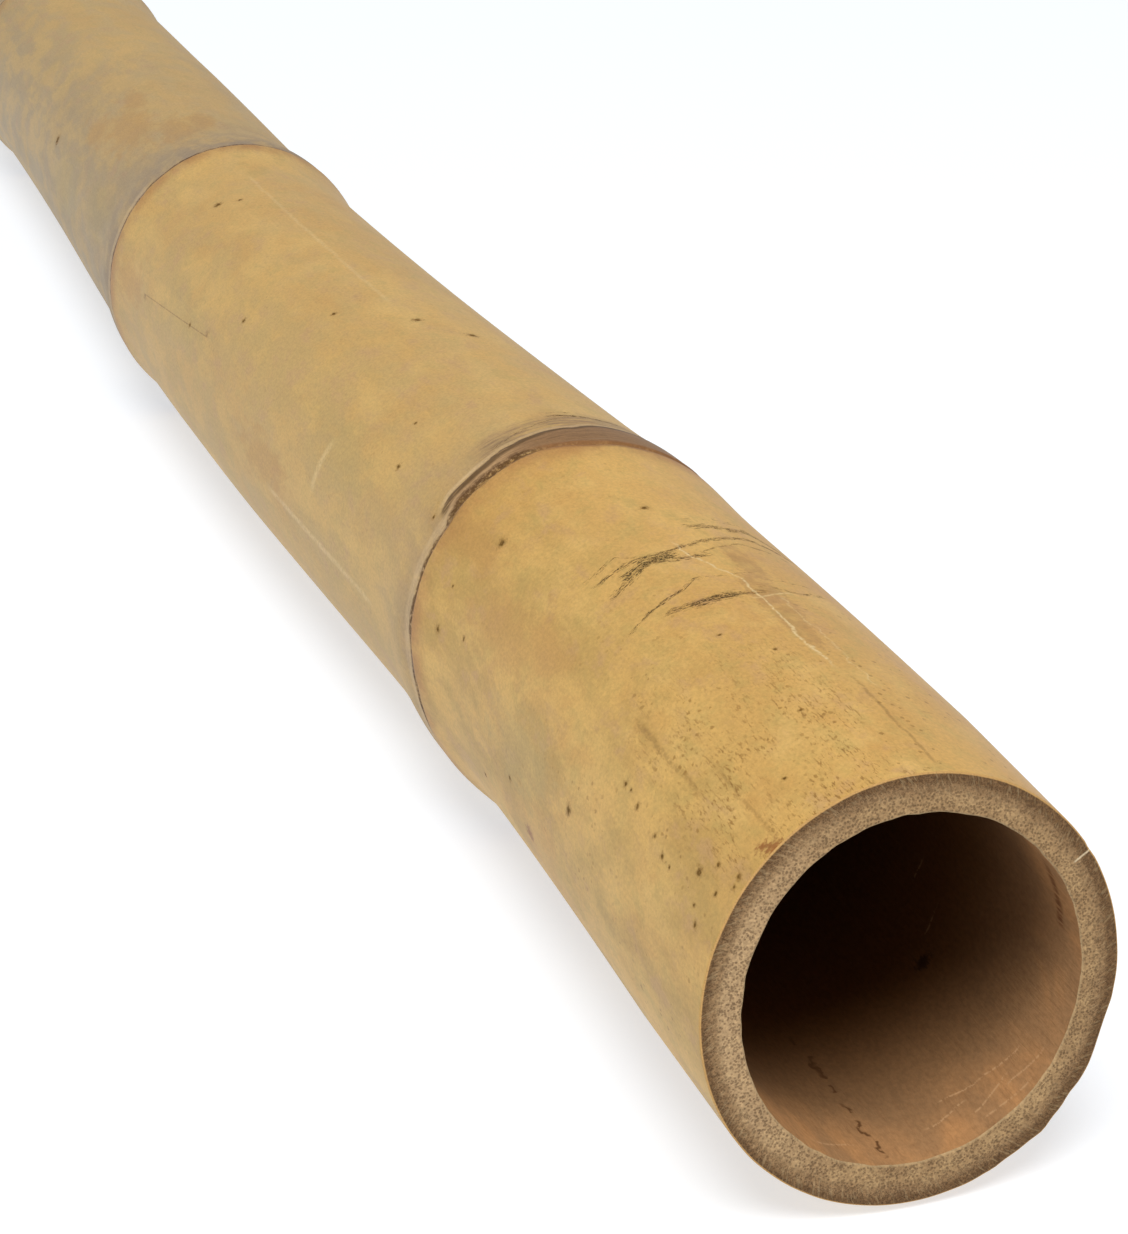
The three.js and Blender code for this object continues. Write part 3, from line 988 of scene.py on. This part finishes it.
# %% Fibres, gloss and bump of the skin
fibres = culm_place.stretched(0.6, 24).noise(2.0, 0.6)
grain_tone = culm_place.stretched(0.9, 1.3).noise(3.0, 0.75)
tone = fibres.ramp(0.3, 0.7, 0.98, 1.015) * grain_tone.ramp(0.25, 0.75, 0.88, 1.09)
colour = colour.toned(tone)
roughness = 0.43 + 0.12 * blotch + 0.35 * scuffs.most(pin_core) + 0.15 * bloom_share
height = 0.03 * fibres + 0.25 * patch + 0.15 * scratches
looks = {"Base Color": colour, "Roughness": roughness, "Normal": height.bumped(0.5, 0.4)}
finish_with(skin_shader, here, {**looks, "Specular IOR Level": 0.16})
print("nodes in the skin:", len(skin_material.node_tree.nodes))

# %% [markdown]
# ## The cut face
# A sawn culm shows its fibre bundles end on: dark dots in paler pith, about half a millimetre apart and
# crowded under the skin, where the wall turns dark brown. A cell pattern gives the dots, once coarse
# and once fine, and the radius decides between them. The saw leaves fine slanting streaks, which show
# most where the wall is dark and hard.

# %% Places on the cut
RAW_WOOD = {"Roughness": 0.8, "Specular IOR Level": 0.2}

cut_material, cut_shader, here = new_material("bamboo_cut")
culm_place, place = places_on(here)
_, way_round, way_along = place
flat_place = culm_place.vector("MULTIPLY", (1.0, 1.0, 0.0))
depth = stored(here, "wall_depth", 2)
cut_cloud = culm_place.stretched(7, 7).noise(3.0, 0.6)
across_wire = culm_place.split()
ragged_depth = depth + (culm_place.stretched(1.6, 1.6).noise(3.0, 0.6) - 0.5) * 0.12
ragged_depth = ragged_depth + across_wire.ramp(-0.05, 0.05, 0.02, -0.12)

# %% Bundles and saw streaks
BUNDLE_GAPS = (0.62, 0.44)

cells_inner, cells_outer = (flat_place.cells(1 / (gap * MM)) for gap in BUNDLE_GAPS)
bundles = cells_inner.ramp(0.6, 0.25) * depth.ramp(0.3, 0.45)
bundles = bundles.most(cells_outer.ramp(0.62, 0.25) * depth.ramp(0.5, 0.3))
slanting = {0: way_round * (1 / (0.75 * MM)) + depth * 7.0, 1: depth * 3.0, 2: way_along}
saw_streaks = here.node("ShaderNodeCombineXYZ", {}, slanting).noise(2.0, 0.6)

# %% The end grain
pith = here.mixed(paint("#a5865e"), paint("#927450"), cut_cloud.ramp(0.35, 0.65))
pith = pith.painted("#7b5e40", ragged_depth.ramp(0.6, 0.28) * 0.65)
pith = pith.painted("#563a1e", ragged_depth.ramp(0.3, 0.1) * saw_streaks.ramp(0.38, 0.6, 0.45, 1.0))
pith = pith.painted("#c2a37c", across_wire.ramp(-0.01, -0.05) * ragged_depth.ramp(0.3, 0.6) * 0.45)
colour = pith.painted("#4a321c", bundles * cut_cloud.ramp(0.2, 0.7, 0.42, 0.58))
cell_tone = cells_outer.other(1).split()
rough_grain = culm_place.stretched(0.8, 0.8).noise(1.0, 0.5).ramp(0.3, 0.7, 0.87, 1.13)
colour = colour.toned(rough_grain * cell_tone.ramp(0.0, 1.0, 0.87, 1.13, "LINEAR"))
colour = colour.painted("#b89d74", saw_streaks.ramp(0.5, 0.66) * depth.ramp(0.85, 0.2) * 0.32)
colour = colour.painted("#b59b74", depth.ramp(0.93, 1.0) * 0.6)
colour = colour.painted("#d2a566", depth.ramp(0.05, 0.02) * 0.75)
split_line = line_along(place, NOTCH_AT, -6, 6, 0.4) * depth.ramp(0.55, 0.45)
colour = colour.painted("#d3bf9c", split_line * way_along.ramp(0.1, 0.05) * 0.8)
height = saw_streaks - 1.4 * bundles
looks = {"Base Color": colour, "Normal": height.bumped(0.6, 0.15)}
finish_with(cut_shader, here, {**looks, **RAW_WOOD})
print("nodes in the cut:", len(cut_material.node_tree.nodes))

# %% [markdown]
# ## The bore
# Inside, the wall keeps a dry, papery lining of warm brown, streaked along the culm and a little dirty.
# It is tan just inside the mouth and painted darker further in, as painted shade in the hollow. A dashed
# crack, a reddish rub, a few light scratches and a dark spot are placed one by one.

# %% The lining
bore_material, bore_shader, here = new_material("bamboo_bore")
culm_place, place = places_on(here)
_, way_round, way_along = place
lining = culm_place.stretched(14, 34).noise(3.0, 0.55, 0.6)
streaks = culm_place.stretched(0.8, 12).noise(3.0, 0.6)
bore_grain = culm_place.stretched(1.0, 2.2).noise(3.0, 0.7)
depth_in = way_along.least(CULM_LENGTH * MM - way_along) + (lining - 0.5) * 0.012
colour = here.mixed(paint("#bd8c5c"), paint("#a88058"), lining.ramp(0.35, 0.65))
# Painted shade: darker further in from either mouth of the bore, where little light reaches.
colour = colour.painted("#806142", depth_in.ramp(0.004, 0.036) * 0.85)
colour = colour.painted("#66401d", depth_in.ramp(0.018, 0.085))
colour = colour.painted("#7b5433", streaks.ramp(0.55, 0.72) * 0.25)
colour = colour.toned(bore_grain.ramp(0.25, 0.75, 0.86, 1.12))

# %% Marks in the bore
wander = (culm_place.stretched(4, 5).noise(2.0) - 0.5) * (7.0 * MM)
dashed = line_along(place, -95.5, 8, 60, 1.1, wander) * bore_grain.ramp(0.35, 0.45)
dashed = dashed * culm_place.stretched(30, 5).noise(1.0).ramp(0.44, 0.5)
colour = colour.painted("#4f2e12", dashed * 0.8)
reddish = line_across(place, ((8, 12.0), (29, 11.0)), 3.0) * streaks.ramp(0.4, 0.55)
colour = colour.painted("#5f3317", reddish * 0.7)
BORE_SCRATCHES = (
    ((-24, 94.0), (-20, 93.5)), ((-34, 76.5), (-28, 78.0)), ((-60, 9.0), (-48, 12.0)),
    ((-52, 18.0), (-40, 15.0)), ((-46, 9.0), (-34, 6.0)), ((-75, 12.0), (-64, 15.0)),
    ((-58, 5.0), (-44, 3.5)), ((-118, 7.0), (-106, 10.0)), ((-66, 20.0), (-57, 18.0)),
)
light = reduce(Wire.most, (line_across(place, points, 0.6) for points in BORE_SCRATCHES))
light_share = light * bore_grain.ramp(0.4, 0.55) * depth_in.ramp(0.08, 0.02, 0.25, 0.6)
colour = colour.painted("#d0a87c", light_share)
dark_spot = spots(place, ((69.7, -43.2, 3.0),), 1.0) * bore_grain.ramp(0.2, 0.8, 0.6, 1.5)
colour = colour.painted("#24160b", dark_spot.ramp(1.2, 0.4) * 0.7)
height = streaks + 0.8 * lining + 0.5 * bore_grain
looks = {"Base Color": colour, "Normal": height.bumped(0.6, 0.3)}
finish_with(bore_shader, here, {**looks, **RAW_WOOD})
print("nodes in the bore:", len(bore_material.node_tree.nodes))

# %% [markdown]
# ## The culm in the frame
# The mesh takes its three finishes, rides on the frame's only body and stands for the solid culm.

# %% Hand the culm to the frame


def placed(name, data):
    """A new object of this mesh, lamp or camera, in the scene."""
    thing = bpy.data.objects.new(name, data)
    bpy.context.scene.collection.objects.link(thing)
    return thing


for material in (skin_material, cut_material, bore_material):
    mesh.materials.append(material)
culm = placed("bamboo_culm", mesh)
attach(culm, "root")
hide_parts("bamboo_cane")

# %% [markdown]
# ## Floor, light and camera
# A plain pale floor runs out of sight. It glows a little by itself, like a light table, so that it stays
# white while the wood keeps its depth. The light is an even sky and one broad soft lamp high behind the
# camera, so the shadow along the culm is faint and wide. The camera looks along the culm from its upper
# end, from a little above and to the left.

# %% The floor
FLOOR_HALF = 16.0
FLOOR_LOOKS = {
    "Base Color": (0.50, 0.52, 0.55, 1.0),
    "Roughness": 0.9,
    "Specular IOR Level": 0.1,
    "Emission Color": (0.90, 0.94, 1.0, 1.0),
    "Emission Strength": 0.6,
}

floor_corners = FLOOR_HALF * np.array([(-1, -1, 0), (1, -1, 0), (1, 1, 0), (-1, 1, 0)])
floor_mesh = bpy.data.meshes.new("floor")
floor_mesh.from_pydata(floor_corners, [], [(0, 1, 2, 3)])
floor_material, floor_shader, here = new_material("pale_floor")
finish_with(floor_shader, here, FLOOR_LOOKS)
floor_mesh.materials.append(floor_material)
floor = placed("floor", floor_mesh)

# %% Sky and lamp
HORIZON_STRENGTH = 0.72
SKY_STRENGTH = 0.45
SKY_FADE = (0.03, 0.25)
LAMP_PLACE = (-1.26, -3.62, 5.08)
LAMP_AIM = (0.0, -0.6, 0.05)
LAMP_SIZE = 3.0
LAMP_POWER = 291.0
LAMP_COLOUR = (1.0, 0.985, 0.95)
SKY_COLOUR = (0.98, 0.99, 1.0, 1.0)

world = bpy.data.worlds.new("studio_sky")
world.use_nodes = True
sky = world.node_tree.nodes["Background"]
sky.inputs["Color"].default_value = SKY_COLOUR
here = Wire(world.node_tree)
upward = here.node("ShaderNodeTexCoord").split().other(2)
strength = upward.ramp(*SKY_FADE, HORIZON_STRENGTH, SKY_STRENGTH)
world.node_tree.links.new(strength.socket, sky.inputs["Strength"])
bpy.context.scene.world = world


def aimed(place, target):
    """The turn that points an object's -Z axis from its place to a target."""
    direction = np.array(target) - np.array(place)
    flat = math.hypot(direction[0], direction[1])
    tilt = math.atan2(flat, -direction[2])
    return (tilt, 0.0, math.atan2(direction[1], direction[0]) - math.pi / 2)


lamp_data = bpy.data.lights.new("soft_lamp", "AREA")
lamp_data.shape = "DISK"
lamp_data.size = LAMP_SIZE
lamp_data.energy = LAMP_POWER
lamp_data.color = LAMP_COLOUR
lamp = placed("soft_lamp", lamp_data)
lamp.location = LAMP_PLACE
lamp.rotation_euler = aimed(LAMP_PLACE, LAMP_AIM)

# %% Camera
CAMERA_PLACE = (-0.24049, -1.24908, 0.36199)
CAMERA_TURN = 15.916
CAMERA_DOWN = 19.129
CAMERA_LENS = 96.515
CAMERA_SENSOR = 36.0

camera_data = bpy.data.cameras.new("camera")
camera_data.lens = CAMERA_LENS
camera_data.sensor_width = CAMERA_SENSOR
camera_data.clip_start = 0.05
camera = placed("camera", camera_data)
camera.location = CAMERA_PLACE
camera.rotation_euler = (math.radians(90.0 - CAMERA_DOWN), 0.0, math.radians(-CAMERA_TURN))
bpy.context.scene.camera = camera
bpy.context.scene.view_settings.view_transform = "Standard"
print("camera at", CAMERA_PLACE, "with a lens of", CAMERA_LENS, "mm")
